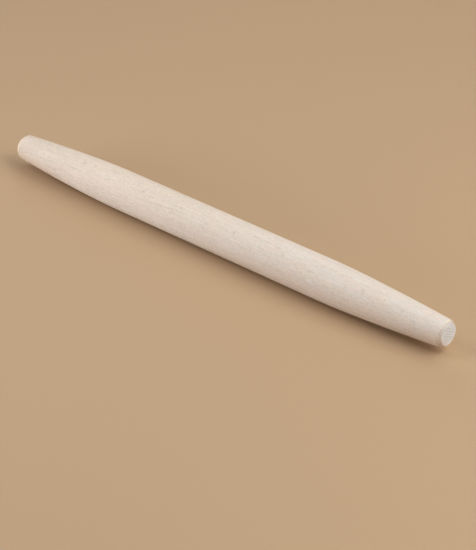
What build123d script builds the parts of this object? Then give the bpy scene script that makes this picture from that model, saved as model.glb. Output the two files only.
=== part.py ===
from build123d import *
import os

# A tapered rolling pin without handles, turned in one piece from a single beech blank.
# The pin lies along X with the middle of its axis at the origin. Millimetres and degrees.
overall_length = 508.0
barrel_diameter = 38.0
straight_length = 240.0

# The shoulder is the short arc that leads from the straight barrel into each taper.
shoulder_radius = 800.0
shoulder_angle = 2.2

# The taper is one long, slightly crowned arc, from the shoulder to the bevel.
tip_diameter = 24.5

# The sanded bevel round each flat end, and the softening of its two corners.
bevel_length = 3.0
bevel_depth = 2.25
bevel_softening = 0.8

half_length = overall_length / 2
barrel_radius = barrel_diameter / 2
tip_radius = tip_diameter / 2
face_radius = tip_radius - bevel_depth

with BuildPart() as rolling_pin:
    with BuildSketch(Plane.XZ) as half_section:
        with BuildLine():
            barrel = Line((-straight_length / 2, barrel_radius), (straight_length / 2, barrel_radius))
            shoulder = JernArc(barrel @ 1, barrel % 1, shoulder_radius, -shoulder_angle)
            taper = TangentArc(shoulder @ 1, (half_length - bevel_length, tip_radius), tangent=shoulder % 1)
            bevel = Line(taper @ 1, (half_length, face_radius))
            face = Line(bevel @ 1, (half_length, 0))
            mirror([shoulder, taper, bevel, face], about=Plane.YZ)
            Line((-half_length, 0), (half_length, 0))
        make_face()
        # At each end the rim of the flat and the foot of the bevel are the two corners to soften.
        columns = half_section.vertices().group_by(Axis.X)
        rims = [columns[0].sort_by(Axis.Y)[-1], columns[-1].sort_by(Axis.Y)[-1]]
        feet = columns[1] + columns[-2]
        fillet(rims + feet, radius=bevel_softening)
    revolve(axis=Axis.X)

rolling_pin.part.label = "rolling_pin"

os.makedirs("parts", exist_ok=True)
export_step(rolling_pin.part, "parts/rolling_pin.step")
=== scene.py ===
import bpy
import numpy as np
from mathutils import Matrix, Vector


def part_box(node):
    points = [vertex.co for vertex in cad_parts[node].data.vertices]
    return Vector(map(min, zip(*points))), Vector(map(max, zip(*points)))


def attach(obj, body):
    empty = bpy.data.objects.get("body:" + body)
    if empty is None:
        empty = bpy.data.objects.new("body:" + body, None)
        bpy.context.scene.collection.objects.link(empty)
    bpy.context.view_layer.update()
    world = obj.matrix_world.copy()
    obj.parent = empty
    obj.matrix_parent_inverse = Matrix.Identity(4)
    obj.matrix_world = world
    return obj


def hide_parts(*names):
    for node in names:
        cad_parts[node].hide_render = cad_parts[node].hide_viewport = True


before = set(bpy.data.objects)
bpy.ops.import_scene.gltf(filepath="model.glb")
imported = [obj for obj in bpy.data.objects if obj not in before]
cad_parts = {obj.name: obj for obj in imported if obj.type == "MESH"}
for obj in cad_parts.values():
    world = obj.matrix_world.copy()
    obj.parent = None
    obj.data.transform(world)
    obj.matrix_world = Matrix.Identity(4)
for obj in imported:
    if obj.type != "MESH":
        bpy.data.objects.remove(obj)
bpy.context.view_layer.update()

# The view. A long lens looks down on the pin from in front of it and to the right.
# The camera stands on a line from the middle of the pin, and is aimed a little to one side of it.
view_azimuth, view_elevation, view_distance = 42.13, 30.013, 1.64867
aim_heading, aim_pitch = 41.426, -31.344
lens_mm, sensor_mm = 120.08, 36.0


def direction(azimuth, elevation):
    """The unit vector at an azimuth, turned from -Y towards +X, and at an elevation above the floor."""
    turn, rise = np.radians(azimuth), np.radians(elevation)
    return np.array([np.sin(turn) * np.cos(rise), -np.cos(turn) * np.cos(rise), np.sin(rise)])


camera_data = bpy.data.cameras.new("view")
camera_data.lens = lens_mm
camera_data.sensor_width = sensor_mm
camera = bpy.data.objects.new("view", camera_data)
camera.location = direction(view_azimuth, view_elevation) * view_distance
camera.rotation_euler = np.radians([90 + aim_pitch, 0, aim_heading])
bpy.context.scene.collection.objects.link(camera)
bpy.context.scene.camera = camera

# The turned rod. One blank of beech, turned between centres to a straight barrel and two crowned
# tapers, sanded, sawn off square and bevelled by hand at both ends. It carries no finish or fittings.
low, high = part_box("rolling_pin")
half_length = min(high.x, -low.x)
barrel_radius = min(high.y, high.z, -low.y, -low.z)
straight_half = 0.120
shoulder_radius, shoulder_angle = 0.800, np.radians(2.2)
tip_radius = 0.01225
bevel_length, bevel_depth, bevel_softening = 0.0030, 0.00225, 0.0008


def profile_stations():
    """Distances along half of the profile, from the middle of the barrel to the centre of the end, and
    the slope angle at each. A straight stretch keeps its angle, and on an arc it changes evenly."""
    shoulder_x = straight_half + shoulder_radius * np.sin(shoulder_angle)
    shoulder_drop = shoulder_radius * (1 - np.cos(shoulder_angle))
    run = half_length - bevel_length - shoulder_x
    fall = barrel_radius - shoulder_drop - tip_radius
    half_turn = np.arctan2(fall, run) - shoulder_angle
    tip_angle = shoulder_angle + 2 * half_turn
    bevel_angle = np.arctan2(bevel_depth, bevel_length)
    foot_cut = bevel_softening * np.tan((bevel_angle - tip_angle) / 2)
    rim_cut = bevel_softening * np.tan((np.pi / 2 - bevel_angle) / 2)
    lengths = [
        straight_half,
        shoulder_radius * shoulder_angle,
        np.hypot(run, fall) * half_turn / np.sin(half_turn) - foot_cut,
        bevel_softening * (bevel_angle - tip_angle),
        np.hypot(bevel_length, bevel_depth) - foot_cut - rim_cut,
        bevel_softening * (np.pi / 2 - bevel_angle),
        tip_radius - bevel_depth - rim_cut,
    ]
    slopes = [0, 0, shoulder_angle, tip_angle, bevel_angle, bevel_angle, np.pi / 2, np.pi / 2]
    return np.concatenate([[0], np.cumsum(lengths)]), np.array(slopes)


def profile_points(distance):
    """x and radius at each distance along half of the profile: the running sums of the cosine and the
    sine of the slope angle, taken in steps too fine to see."""
    step_count = 60000
    fine = np.linspace(0, stations[-1], step_count + 1)
    slope = np.interp(fine, stations, slopes)
    middle = (slope[1:] + slope[:-1]) / 2
    x = np.concatenate([[0], np.cumsum(np.cos(middle))]) * fine[1]
    drop = np.concatenate([[0], np.cumsum(np.sin(middle))]) * fine[1]
    return np.interp(distance, fine, x), barrel_radius - np.interp(distance, fine, drop)


# The grid of the surface. Its rows are rings, at a signed distance along the profile from the middle,
# below 0 on the far half. Its columns are angles from +Y towards +Z. Rows lie closest on the bevels.
stations, slopes = profile_stations()
foot, bevel_start, bevel_end, rim, centre = stations[3:]
tip_angle, bevel_angle = slopes[3:5]
finer_stretch = 0.006
row_limits = [0, foot - finer_stretch, foot, bevel_start, bevel_end, rim, centre]
row_counts = [184, 12, 5, 9, 6, 20]
columns = 208
half_rows = np.concatenate([
    np.linspace(begin, stop, count, endpoint=False)
    for begin, stop, count in zip(row_limits[:-1], row_limits[1:], row_counts)
])
signed = np.concatenate([-half_rows[:0:-1], half_rows])[:, None]
angle = np.linspace(0, 2 * np.pi, columns, endpoint=False)[None, :]
side = np.sign(signed)
slope = np.interp(abs(signed), stations, slopes)
x, radius = profile_points(abs(signed))

# The hand work. The bevels are cut deeper in places, a corner of the near end is worn down, the blank
# is a little out of round, and the rod has a few shallow dents. A dent has its distance from the
# middle, turn, half length, half width and depth, and the last one is a nick in the near bevel.
bevel_unevenness, blank_unevenness = 0.00016, 0.00005
corner_turn, corner_half, corner_depth = 48, 24, 0.00040
bevel_reach = 0.010
dents = [
    (0.0262, 127, 0.0016, 0.0010, 0.00010),
    (-0.1254, 131, 0.0014, 0.0009, 0.00008),
    (-0.0690, 140, 0.0012, 0.0008, 0.00006),
    (0.1245, 160, 0.0015, 0.0008, 0.00006),
    (0.0710, 305, 0.0030, 0.0018, 0.00014),
    (-0.1480, 20, 0.0022, 0.0013, 0.00010),
    (0.2536, 191, 0.0006, 0.0007, 0.00035),
]
chance = np.random.default_rng(7)


def uneven(strength):
    """A gentle wave round the rod, from 0 to strength: four harmonics of random phase, each weaker."""
    order = np.arange(1, 5)[:, None]
    phase = chance.uniform(0, 2 * np.pi, 4)[:, None]
    wave = (np.cos(order * angle + phase) / order).sum(0)
    return strength * (wave - wave.min()) / np.ptp(wave)


def spot(place, turn, half_place, half_round):
    """A bell over the surface, 1 at its middle and about a third at the two half sizes: e to the minus
    of both shares squared. place is a signed distance, and turn an angle in degrees."""
    away = (angle - np.radians(turn) + np.pi) % (2 * np.pi) - np.pi
    return np.exp(-(((signed - place) / half_place) ** 2) - (away * radius / half_round) ** 2)


def arc(turn, half, power=2):
    """A bell round the rod, 1 at turn and about a third at half to each side, both in degrees: e to the
    minus of the share of half, raised to power. A higher power gives it a flatter top."""
    return np.exp(-((abs(np.degrees(angle) - turn) / half) ** power))


# A deeper cut moves the foot of the bevel back along the side, and its rim inwards over the face.
far_cut = uneven(bevel_unevenness)
near_cut = uneven(bevel_unevenness) + corner_depth * arc(corner_turn, corner_half)
cut = np.where(side > 0, near_cut, far_cut)
foot_share = np.interp(abs(signed), [foot - bevel_reach, foot, bevel_start, bevel_end], [0, 1, 1, 0])
face_share = np.interp(abs(signed), [bevel_start, bevel_end, rim, centre], [0, 1, 1, 0])
foot_slide = cut * foot_share / np.sin(bevel_angle - tip_angle)
rim_slide = cut * face_share / np.cos(bevel_angle)
on_side = np.interp(abs(signed), [foot - bevel_reach, foot], [1, 0])
out_of_round = on_side * uneven(blank_unevenness)
pressed = sum(depth * spot(*middle, long, wide) for *middle, long, wide, depth in dents)
final_x = side * (x - foot_slide * np.cos(tip_angle) - pressed * np.sin(slope))
final_radius = radius + foot_slide * np.sin(tip_angle) - rim_slide
final_radius = final_radius - out_of_round - pressed * np.cos(slope)
rings = np.stack([final_x, final_radius * np.cos(angle), final_radius * np.sin(angle)], axis=-1)

# The marks. Short brown flecks where rays of the wood come to the surface, and after them the flecks on
# the near bevel, the stain on the worn corner and two soft patches of painted shade that darken the
# underside of the near tip. Each has its distance from the middle, turn, half length, half width and
# strength.
marks = [
    (-0.1624, 113, 0.0011, 0.0016, 0.65), (-0.1489, 108, 0.0012, 0.0011, 0.40),
    (-0.1252, 103, 0.0030, 0.0008, 0.50), (-0.1256, 130, 0.0020, 0.0008, 0.25),
    (-0.1140, 120, 0.0012, 0.0010, 0.35), (-0.1094, 117, 0.0010, 0.0010, 0.35),
    (-0.0829, 121, 0.0012, 0.0013, 0.60), (-0.0730, 130, 0.0020, 0.0008, 0.40),
    (-0.0690, 141, 0.0013, 0.0009, 0.20), (-0.0362, 122, 0.0011, 0.0013, 0.50),
    (-0.0444, 147, 0.0009, 0.0017, 0.45), (-0.0040, 148, 0.0014, 0.0008, 0.35),
    (0.0204, 127, 0.0011, 0.0012, 0.45), (0.0285, 127, 0.0011, 0.0019, 0.60),
    (0.0767, 115, 0.0026, 0.0007, 0.55), (0.0852, 129, 0.0013, 0.0013, 0.50),
    (0.1201, 118, 0.0011, 0.0009, 0.30), (0.1259, 115, 0.0011, 0.0009, 0.30),
    (0.1180, 139, 0.0014, 0.0009, 0.35), (0.1243, 160, 0.0015, 0.0009, 0.35),
    (0.1641, 153, 0.0012, 0.0009, 0.30), (0.1721, 126, 0.0011, 0.0015, 0.55),
    (0.1730, 136, 0.0012, 0.0010, 0.35), (0.1945, 124, 0.0011, 0.0009, 0.30),
    (0.2073, 125, 0.0012, 0.0009, 0.35), (0.2136, 132, 0.0012, 0.0014, 0.50),
    (0.2520, 141, 0.0006, 0.0008, 0.60), (0.2519, 153, 0.0007, 0.0008, 0.65),
    (0.2509, 170, 0.0006, 0.0008, 0.40), (0.2512, 190, 0.0006, 0.0008, 0.40),
    (0.2548, 199, 0.0004, 0.0017, 0.60), (0.2528, 48, 0.0022, 0.0040, 0.35),
    # Painted shade: the two soft patches on this line darken the underside of the near tip.
    (0.2530, 226, 0.0080, 0.0060, 0.36), (0.2200, 214, 0.0320, 0.0065, 0.24),
]
marks_and_painted_shade = sum(strength * spot(*middle, long, wide) for *middle, long, wide, strength in marks)
marks_and_shade = np.minimum(marks_and_painted_shade, 1)

# The zones, each from 0 to 1. End grain shows on the ends, and on the near one it comes in later at the
# lower front. A cream band lies before it on the bevels, mostly at the near end's top and the far end's
# front, partly the bevels' own colour and partly a painted highlight. A pale line on the near rim is a
# painted highlight, left out on its upper side, and a paler strip on the lower front is painted light.
lower_front, top_corner = arc(222, 50), arc(66, 32)
far_front, rim_highlight_gap = arc(160, 48), arc(106, 70, power=4)
grain_delay, lower_delay, grain_fade = 0.0006, 0.0018, 0.0010
grain_start = np.where(side > 0, bevel_start + grain_delay + lower_delay * lower_front, bevel_end)
end_grain = np.clip((abs(signed) - grain_start) / grain_fade, 0, 1)
flat_lead, flat_fade = 0.0004, 0.0008
flat = np.clip((abs(signed) - (bevel_end - flat_lead)) / flat_fade, 0, 1) + 0 * angle
# The cream band on the bevels is partly their own colour and partly a painted highlight.
cream_lead, cream_fade = 0.0010, 0.0005
cream_start = np.where(side > 0, foot, foot - cream_lead)
cream_and_highlight_band = np.clip((abs(signed) - cream_start) / cream_fade, 0, 1) * (1 - end_grain)
cream_and_highlight_band = cream_and_highlight_band * np.where(side > 0, 0.8 * top_corner, 0.35 + 0.65 * far_front)
# A painted highlight: a pale line round the near rim, left out on its upper side.
rim_middle, rim_half = (bevel_end + rim) / 2, 0.0008
rim_highlight = np.exp(-(((signed - rim_middle) / rim_half) ** 2)) * (1 - 0.95 * rim_highlight_gap)


def eased(start, end):
    """Along the rod, 0 up to start and 1 from end on, and between them the smooth step 3 s^2 - 2 s^3."""
    share = np.clip((signed - start) / (end - start), 0, 1)
    return share ** 2 * (3 - 2 * share)


# Painted light: a paler strip on the lower front of the far half.
painted_light_strip = eased(-0.225, -0.160) * eased(0.070, -0.040) * arc(206, 30)

# The skin of the rod: quads between neighbouring rings, and a fan of triangles at each end's centre.
ring_count = len(signed)
index = np.arange(ring_count * columns).reshape(ring_count, columns)
beside = np.roll(index, -1, axis=1)
far_pole, near_pole = index.size, index.size + 1
points = np.concatenate([rings.reshape(-1, 3), [[-half_length, 0, 0], [half_length, 0, 0]]])
quads = np.stack([index[:-1], beside[:-1], beside[1:], index[1:]], axis=-1).reshape(-1, 4)
far_fan = np.stack([np.full(columns, far_pole), beside[0], index[0]], axis=-1)
near_fan = np.stack([np.full(columns, near_pole), index[-1], beside[-1]], axis=-1)

# The bake map. It unrolls the side into one strip, with the two ends as discs below it. Its sizes are
# shares of the map's own width and height.
edge, strip_low = 0.008, 0.150
disc_radius, disc_height, far_disc, near_disc = 0.064, 0.072, 0.070, 0.215
rounding = 1e-9
turned = np.linspace(0, 2 * np.pi, columns + 1)[None, :]
strip_u = edge + (1 - 2 * edge) * (signed + foot) / (2 * foot) + 0 * turned
strip_v = strip_low + (1 - edge - strip_low) * turned / (2 * np.pi) + 0 * signed
disc_reach = disc_radius * (centre - abs(signed)) / (centre - foot)
disc_u = np.where(side > 0, near_disc, far_disc) + disc_reach * np.cos(turned)
disc_v = disc_height + disc_reach * np.sin(turned)
strip_map = np.stack([strip_u, strip_v], axis=-1)
disc_map = np.stack([disc_u, disc_v], axis=-1)


def corners(grid):
    """The four corners of every quad of a grid, in the order in which the quads list their points."""
    return np.stack([grid[:-1, :-1], grid[:-1, 1:], grid[1:, 1:], grid[1:, :-1]], axis=2)


beyond = abs(signed[:, 0]) >= foot - rounding
on_disc = (beyond[:-1] & beyond[1:])[:, None, None, None]
quad_map = np.where(on_disc, corners(disc_map), corners(strip_map))
far_middle = np.broadcast_to([far_disc, disc_height], (columns, 2))
near_middle = np.broadcast_to([near_disc, disc_height], (columns, 2))
far_fan_map = np.stack([far_middle, disc_map[0, 1:], disc_map[0, :-1]], axis=1)
near_fan_map = np.stack([near_middle, disc_map[-1, :-1], disc_map[-1, 1:]], axis=1)
bake_map = np.concatenate([part.reshape(-1) for part in (quad_map, far_fan_map, near_fan_map)])

rod_mesh = bpy.data.meshes.new("turned_rod")
rod_mesh.from_pydata(points.tolist(), [], quads.tolist() + far_fan.tolist() + near_fan.tolist())
rod_mesh.uv_layers.new(name="OFBake").data.foreach_set("uv", bake_map)
surface = {
    "mark": (marks_and_shade, 0),
    "end_grain": (end_grain, 1),
    "bevel": (cream_and_highlight_band, 0),
    "rim": (rim_highlight, 0),
    "flat": (flat, 1),
    "painted_light": (painted_light_strip, 0),
}
for name, (values, at_poles) in surface.items():
    channel = rod_mesh.attributes.new(name, "FLOAT", "POINT")
    channel.data.foreach_set("value", np.append(values.reshape(-1), [at_poles, at_poles]))
rod_mesh.shade_smooth()
rod = bpy.data.objects.new("turned_rod", rod_mesh)
bpy.context.scene.collection.objects.link(rod)
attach(rod, "root")
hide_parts("rolling_pin")


class Wire:
    """A shader socket that reads like a number: each operator adds one Math node beside it."""

    def __init__(self, tree, socket=None):
        self.tree = tree
        self.socket = socket

    def node(self, kind, settings, inputs, output=0):
        """Adds a node, makes its settings, gives its sockets values or wires, and returns the wire of
        one of its outputs."""
        made = self.tree.nodes.new(kind)
        for name, value in settings.items():
            setattr(made, name, value)
        for name, value in inputs.items():
            if isinstance(value, Wire):
                self.tree.links.new(value.socket, made.inputs[name])
            else:
                made.inputs[name].default_value = value
        return Wire(self.tree, made.outputs[output])

    def also(self, output):
        """Another output of the node that this wire comes from."""
        return Wire(self.tree, self.socket.node.outputs[output])

    def maths(self, operation, first, second=0.0):
        """One Math node with this operation on two wires or numbers."""
        return self.node("ShaderNodeMath", {"operation": operation}, {0: first, 1: second})

    def __add__(self, other):
        return self.maths("ADD", self, other)

    def __sub__(self, other):
        return self.maths("SUBTRACT", self, other)

    def __rsub__(self, other):
        return self.maths("SUBTRACT", other, self)

    def __mul__(self, other):
        return self.maths("MULTIPLY", self, other)

    def __truediv__(self, other):
        return self.maths("DIVIDE", self, other)

    __radd__, __rmul__ = __add__, __mul__

    def clamped(self):
        """This wire, held between 0 and 1."""
        return self.node("ShaderNodeClamp", {}, {"Value": self})

    def rise(self, start, end):
        """0 up to start, 1 from end on, and a smooth step between them."""
        ends = {"Value": self, "From Min": start, "From Max": end}
        return self.node("ShaderNodeMapRange", {"interpolation_type": "SMOOTHSTEP"}, ends)

    def stretched(self, sizes):
        """This place in a space where one unit is sizes long on each axis: the place over the sizes."""
        return self.node("ShaderNodeVectorMath", {"operation": "DIVIDE"}, {0: self, 1: sizes})

    def noise(self, sizes, detail=2.0):
        """Smooth noise, about 0.5, with features of these sizes in the unit of this place."""
        inputs = {"Vector": self.stretched(sizes), "Scale": 1.0, "Detail": detail}
        return self.node("ShaderNodeTexNoise", {}, inputs, "Fac")

    def blend(self, off, on):
        """The colour off where this wire is 0, and on where it is 1."""
        return self.node("ShaderNodeMix", {"data_type": "RGBA"}, {0: self, 6: off, 7: on}, 2)

    def painted(self, name):
        """The value that the mesh carries under this name."""
        return self.node("ShaderNodeAttribute", {"attribute_name": name}, {}, "Fac")


def new_material(name):
    """A material with one Principled shader, and a wire to start from."""
    material = bpy.data.materials.new(name)
    material.use_nodes = True
    return material, material.node_tree.nodes["Principled BSDF"], Wire(material.node_tree)


# Beech, bare and pale. The grain is a solid pattern, so that the streaks on the side run into the rings
# on the ends: thin growth rings far from the pith, short rays that cut through them, fibres and pores.
ring_tilt, grain_lean, grain_turn = 32.0, 0.35, -0.25
ring_width, pith_distance, sway_reach = 2.1, 110.0, 9.0
relief_depth = 0.00006
warm_heart = (0.833, 0.692, 0.553, 1)
pale_end = (0.808, 0.716, 0.628, 1)
held_tan = (0.745, 0.590, 0.440, 1)
cream = (0.839, 0.710, 0.548, 1)
pink = (0.858, 0.690, 0.594, 1)
painted_light = (0.900, 0.835, 0.755, 1)
late_wood = (0.670, 0.556, 0.459, 1)
ray_brown = (0.605, 0.495, 0.410, 1)
mark_and_shade_brown = (0.430, 0.340, 0.265, 1)
line_pale = (0.920, 0.808, 0.698, 1)
bevel_highlight_cream = (0.950, 0.780, 0.590, 1)
end_warm = (0.715, 0.612, 0.520, 1)
end_pale = (0.842, 0.762, 0.735, 1)
end_grey = (0.805, 0.795, 0.785, 1)
end_dark = (0.470, 0.440, 0.395, 1)
rim_highlight_white = (0.960, 0.870, 0.760, 1)

# The place in the wood, in mm: lengthwise, across, and inward through the rings, which sway a little and
# curve round a pith outside the blank. A ring counts up by 1 for each year, and late is its dark part.
beech, wood_shader, start = new_material("beech")
place = start.node("ShaderNodeTexCoord", {}, {}, "Object")
turns = [np.radians(turn) for turn in (ring_tilt, grain_lean, grain_turn)]
in_mm = {"Vector": place, "Rotation": turns, "Scale": (1000, 1000, 1000)}
grain = start.node("ShaderNodeMapping", {}, in_mm)
sway = grain.noise((80, 60, 60), 1.0).also("Color")
added_sway = {0: sway, 1: (0, sway_reach, sway_reach), 2: grain}
swayed = sway.node("ShaderNodeVectorMath", {"operation": "MULTIPLY_ADD"}, added_sway)
across = swayed.node("ShaderNodeSeparateXYZ", {}, {0: swayed}, "Y")
inward = across.also("Z")
lengthwise = across.also("X")
layer = inward - across * across / (2 * pith_distance)
layered = layer.node("ShaderNodeCombineXYZ", {}, {"X": lengthwise, "Y": across, "Z": layer})
one_way = {"noise_dimensions": "1D"}
ring = layer / ring_width
ring = ring + 0.9 * ring.node("ShaderNodeTexNoise", one_way, {"W": ring, "Scale": 0.35}, "Fac")
year = ring.maths("FRACT", ring)
late = year.rise(0.35, 0.90) * (1 - year.rise(0.94, 1.0))
season = ring.node("ShaderNodeTexWhiteNoise", one_way, {"W": ring - year}, "Value")

# The figure. Each noise has its length, width and thickness in mm, and its detail. The rays are short
# brown lens shapes, one in each cell, and only some of them are strong.
streak = layered.noise((80, 4.5, 0.95), 1.5)
dash = layered.noise((8.0, 2.2, 0.85), 2.0)
speckle = layered.noise((2.3, 1.2, 0.95), 1.5)
fibre = layered.noise((5.0, 0.22, 0.22), 2.0)
mottle = layered.noise((40, 9, 7), 2.0)
blush = layered.noise((14, 5, 4), 1.0)
seen = layered.noise((38, 8, 6), 1.0).rise(0.40, 0.62)
pale_line = layered.noise((22, 0.9, 0.9), 0.0).rise(0.68, 0.78)
cells = {"Vector": layered.stretched((3.0, 1.2, 5.0)), "Scale": 1.0, "Randomness": 1.0}
ray = layered.node("ShaderNodeTexVoronoi", {}, cells, "Distance")
ray_kind = ray.node("ShaderNodeSeparateXYZ", {}, {0: ray.also("Color")}, "X")
ray = (1 - ray.rise(0.12, 0.38)) * ray_kind.rise(0.40, 0.95)
end_share, flat_share = start.painted("end_grain"), start.painted("flat")
cream_and_highlight_share, rim_highlight_share = start.painted("bevel"), start.painted("rim")
mark_and_shade_share, painted_light_share = start.painted("mark"), start.painted("painted_light")

# The colour of the side. Its ground goes from warm to pale along the pin, with soft cream and pink
# patches, a far tip tanned by hands, and painted light: a paler strip on the lower front. The tone, from
# 0 to 1, then darkens it towards late wood, with a calmer figure on the upper side towards the near end.
ground = lengthwise.rise(-190, 170).blend(warm_heart, pale_end)
ground = (0.9 * lengthwise.rise(-222, -252)).blend(ground, held_tan)
ground = (0.5 * mottle.rise(0.45, 0.65)).blend(ground, cream)
ground = (0.6 * blush.rise(0.50, 0.68)).blend(ground, pink)
# Painted light: the paler strip on the lower front.
ground = (0.85 * painted_light_share).blend(ground, painted_light)
figure = 0.45 * late * season * seen + 1.45 * (streak - 0.5) + 1.0 * (dash - 0.5)
figure = figure + 1.65 * (speckle - 0.5) + 0.6 * (fibre - 0.5) + 0.25 * (mottle - 0.5)
tone = 0.21 + figure * (1 - 0.35 * lengthwise.rise(90, 170) * inward.rise(2, 8))
tone = tone + 0.15 * streak.rise(0.36, 0.30) - 0.25 * streak.rise(0.62, 0.72)
tone = tone + 0.27 * lengthwise.rise(-150, -210) - 0.10 * lengthwise.rise(-232, -250)
colour = tone.clamped().blend(ground, late_wood)
colour = (0.45 * ray).blend(colour, ray_brown)
colour = (0.5 * pale_line).blend(colour, line_pale)
# The cream band on the bevels, partly a painted highlight.
colour = (cream_and_highlight_share * (0.80 + 0.9 * (speckle - 0.5) + 0.5 * (dash - 0.5))).blend(colour, bevel_highlight_cream)

# The colour of the ends. Their rings are darker lines on a pale ground, greyer and clearer towards one
# side, and the bevel round them is warmer. The pale rim, a painted highlight, and the marks, with the
# painted shade under the near tip, lie over everything.
inner = inward.rise(-9, 2)
rings_shown = late * (0.34 + 0.30 * season) * (0.35 + 0.65 * inner) * (0.6 + 0.4 * flat_share)
rings_shown = (rings_shown + 0.9 * (speckle - 0.5)).clamped()
end_colour = flat_share.blend(end_warm, inner.blend(end_pale, end_grey))
end_colour = rings_shown.blend(end_colour, end_dark)
colour = end_share.blend(colour, end_colour)
# Painted highlight: the pale line on the near rim.
colour = (rim_highlight_share * (0.95 + 1.0 * (speckle - 0.5))).blend(colour, rim_highlight_white)
# The marks, with the painted shade under the near tip.
colour = (mark_and_shade_share * (0.85 + 1.2 * (speckle - 0.5))).blend(colour, mark_and_shade_brown)

# The sheen and the relief. Dense late wood is duller and rays are glossier. Fibres stand up a little,
# rays and marks lie lower, and faint rings from the turning tool run round the rod.
roughness = 0.62 + 0.08 * late - 0.10 * ray + 0.15 * (fibre - 0.5)
tool_rings = place.noise((0.00045, 0.03, 0.03), 1.0)
relief = 0.5 * fibre + 0.4 * speckle + 0.25 * late - 0.4 * ray - 0.6 * mark_and_shade_share + 0.25 * tool_rings
bump = {"Strength": 1.0, "Distance": relief_depth, "Height": relief}
normal = relief.node("ShaderNodeBump", {}, bump, "Normal")
wood_shader.inputs["Specular IOR Level"].default_value = 0.35
for name, wire in (("Base Color", colour), ("Roughness", roughness), ("Normal", normal)):
    beech.node_tree.links.new(wire.socket, wood_shader.inputs[name])
rod_mesh.materials.append(beech)

# The floor. A plain sheet of warm pale paper, which throws some of its colour back under the pin. Past
# the lamps' reach it is seen in its own even tone, by a glow that lights nothing and is no lamp.
floor_reach, lit_reach, fade = 6.0, 0.75, 0.60
floor_colour = (0.535, 0.363, 0.214, 1)


def looked_at(start):
    """1 for a ray that is seen, straight or in a reflection or through glass, and 0 for one that lights:
    the greatest of the three Light Path outputs."""
    straight = start.node("ShaderNodeLightPath", {}, {}, "Is Camera Ray")
    reflected = straight.maths("MAXIMUM", straight, straight.also("Is Glossy Ray"))
    return straight.maths("MAXIMUM", reflected, straight.also("Is Transmission Ray"))


sheet_corners = [(-1, -1), (1, -1), (1, 1), (-1, 1)]
floor_points = [(a * floor_reach, b * floor_reach, low.z) for a, b in sheet_corners]
floor_mesh = bpy.data.meshes.new("floor")
floor_mesh.from_pydata(floor_points, [], [(0, 1, 2, 3)])
paper, paper_shader, _ = new_material("paper")
paper_shader.inputs["Base Color"].default_value = floor_colour
paper_shader.inputs["Roughness"].default_value = 0.9
paper_shader.inputs["Specular IOR Level"].default_value = 0.2
near_paper = Wire(paper.node_tree, paper_shader.outputs[0])
far_paper = near_paper.node("ShaderNodeEmission", {}, {"Color": floor_colour})
floor_spot = near_paper.node("ShaderNodeTexCoord", {}, {}, "Object")
from_pin = floor_spot.node("ShaderNodeVectorMath", {"operation": "LENGTH"}, {0: floor_spot}, "Value")
far_share = from_pin.rise(lit_reach, lit_reach + fade) * looked_at(near_paper)
whole_paper = near_paper.node("ShaderNodeMixShader", {}, {0: far_share, 1: near_paper, 2: far_paper})
paper.node_tree.links.new(whole_paper.socket, paper.node_tree.nodes["Material Output"].inputs["Surface"])
paper.cycles.emission_sampling = "NONE"
floor_mesh.materials.append(paper)
floor = bpy.data.objects.new("floor", floor_mesh)
bpy.context.scene.collection.objects.link(floor)

# The lamps. A wide soft one high behind the pin, three on its right, a low one behind on the left, one
# high in front on the left, and a wide low card under that. The camera doesn't see them. Each has its
# azimuth, elevation, distance, width, height, power and colour.
warm_white, cool_white, sky_white = (1, 0.996, 0.984), (0.92, 0.99, 1.09), (0.91, 0.98, 1.08)
lamps = {
    "back_lamp": (160, 60, 1.8, 2.0, 1.2, 10.2, warm_white),
    "right_lamp": (90, 52, 1.8, 0.8, 0.8, 9.2, warm_white),
    "side_lamp": (112, 35, 1.8, 0.8, 0.8, 4.3, warm_white),
    "low_right_lamp": (90, 22, 1.8, 0.8, 0.8, 5.3, sky_white),
    "left_lamp": (225, 22, 1.8, 0.8, 0.8, 4.3, warm_white),
    "front_lamp": (315, 52, 1.8, 0.8, 0.8, 6.6, cool_white),
    "front_card": (317.5, 10, 1.15, 1.0, 0.32, 7.0, cool_white),
}
for name, (azimuth, elevation, away, wide, tall, power, tint) in lamps.items():
    lamp_data = bpy.data.lights.new(name, "AREA")
    lamp_data.shape, lamp_data.size, lamp_data.size_y = "ELLIPSE", wide, tall
    lamp_data.energy, lamp_data.color = power, tint
    lamp = bpy.data.objects.new(name, lamp_data)
    lamp.location = direction(azimuth, elevation) * away
    lamp.rotation_euler = lamp.location.to_track_quat("Z", "Y").to_euler()
    lamp.visible_camera = False
    bpy.context.scene.collection.objects.link(lamp)

# The room. It gives a dim even light from all round, and where it is looked at it has the floor's tone,
# so that no horizon shows behind the pin.
room_light = (0.12, 0.12, 0.12, 1)
world = bpy.data.worlds.new("room")
world.use_nodes = True
room_glow = Wire(world.node_tree, world.node_tree.nodes["Background"].outputs[0])
room_glow.socket.node.inputs["Color"].default_value = room_light
room_seen = room_glow.node("ShaderNodeBackground", {}, {"Color": floor_colour})
room = room_glow.node("ShaderNodeMixShader", {}, {0: looked_at(room_glow), 1: room_glow, 2: room_seen})
world.node_tree.links.new(room.socket, world.node_tree.nodes["World Output"].inputs["Surface"])
bpy.context.scene.world = world
bpy.context.scene.view_settings.view_transform = "Standard"
